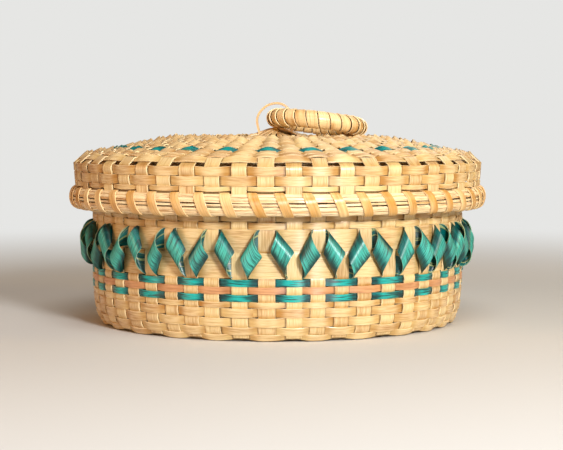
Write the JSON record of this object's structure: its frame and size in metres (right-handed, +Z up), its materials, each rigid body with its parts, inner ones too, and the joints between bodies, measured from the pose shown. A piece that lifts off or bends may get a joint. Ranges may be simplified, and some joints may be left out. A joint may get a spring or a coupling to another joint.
{
  "type": "lidded splint basket",
  "caption": "Round basket woven of flat ash splints, with a zigzag band of curled splint round its body, a domed lid that lifts off and a wrapped ring handle in a loop.",
  "frame": {"origin": "centre of the base, on the surface that the basket stands on", "axes": "+Z up along the basket's axis; -Y is the front of the picture; the ring lies towards +X"},
  "size_m": [0.2802, 0.2802, 0.1461],
  "materials": {
    "ash_splint": "natural ash splint, satin",
    "pale_ash_splint": "pale scraped ash splint, satin",
    "teal_ash_splint": "ash splint dyed teal, satin",
    "brown_ash_splint": "ash splint dyed brown, satin"
  },
  "bodies": {
    "basket": {"base_weave": "ash_splint", "body_rim_inner_hoop": "ash_splint", "body_rim_outer_hoop": "ash_splint", "body_rim_wrapping": "pale_ash_splint", "body_standards": "ash_splint", "brown_row": "brown_ash_splint", "covered_row": "ash_splint", "curl_strip": "teal_ash_splint", "foot_row": "ash_splint", "narrow_row": "ash_splint", "plain_row_1": "ash_splint", "plain_row_2": "ash_splint", "plain_row_3": "ash_splint", "teal_row_lower": "teal_ash_splint", "teal_row_upper": "teal_ash_splint", "top_row_1": "ash_splint", "top_row_2": "ash_splint", "wide_row_lower": "ash_splint", "wide_row_upper": "ash_splint"},
    "lid": {"handle_loop": "pale_ash_splint", "lid_inner_weave": "ash_splint", "lid_rim_bundle": "pale_ash_splint", "lid_rim_inner_hoop": "ash_splint", "lid_rim_wrapping": "ash_splint", "lid_shoulder_row": "ash_splint", "lid_side_row_1": "ash_splint", "lid_side_row_2": "ash_splint", "lid_side_row_3": "ash_splint", "lid_standards": "ash_splint", "lid_teal_row": "teal_ash_splint", "lid_top_row_1": "ash_splint", "lid_top_row_2": "ash_splint", "lid_top_row_3": "ash_splint", "lid_top_row_4": "ash_splint"},
    "ring": {"ring_core": "ash_splint", "ring_wrapping": "pale_ash_splint"}
  },
  "joints": [
    {"name": "lid_lift", "type": "slide", "parent": "basket", "child": "lid", "axis": [0, 0, 1], "range_m": [0, 0.15]},
    {"name": "ring_flip", "type": "hinge", "parent": "lid", "child": "ring", "pos_m": [-0.0012, 0, 0.136], "axis": [0, -1, 0], "range_deg": [0, 190]}
  ]
}
